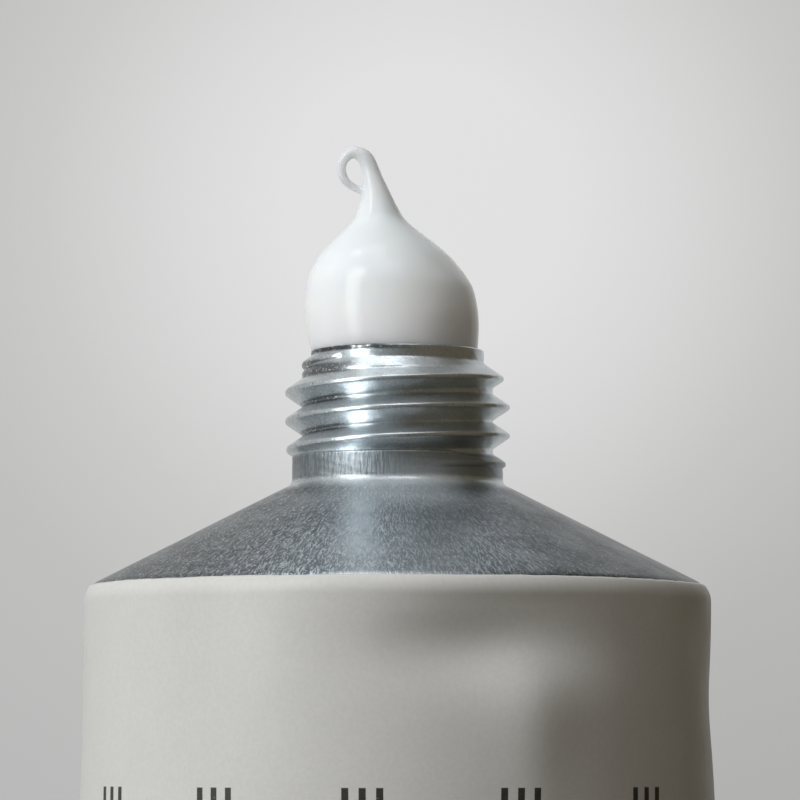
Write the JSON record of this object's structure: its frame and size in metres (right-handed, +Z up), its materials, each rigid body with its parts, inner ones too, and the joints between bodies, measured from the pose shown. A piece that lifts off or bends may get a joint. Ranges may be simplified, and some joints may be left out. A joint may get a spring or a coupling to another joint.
{
  "type": "collapsible aluminium tube of body lotion",
  "caption": "Collapsible aluminium tube with an enamelled sleeve, a threaded neck and a folded hem, lying down with its cap off, and lotion standing out of the neck in a dab with a curl.",
  "frame": {"origin": "middle of the bounding box, at the height of the surface that the tube lies on", "axes": "+Y along the tube towards the neck and the dab, +Z up, +X to the right when seen from above with the neck away from the viewer"},
  "size_m": [0.0618, 0.1915, 0.0421],
  "materials": {
    "bare_aluminium": "bare, finely grained, worn bright on the thread",
    "cream_enamel": "baked enamel, satin",
    "white_lotion": "thick cream, wet and softly glossy"
  },
  "bodies": {
    "root": {"tube": "bare_aluminium", "enamel_coat": "cream_enamel", "lotion": "white_lotion"}
  },
  "joints": []
}
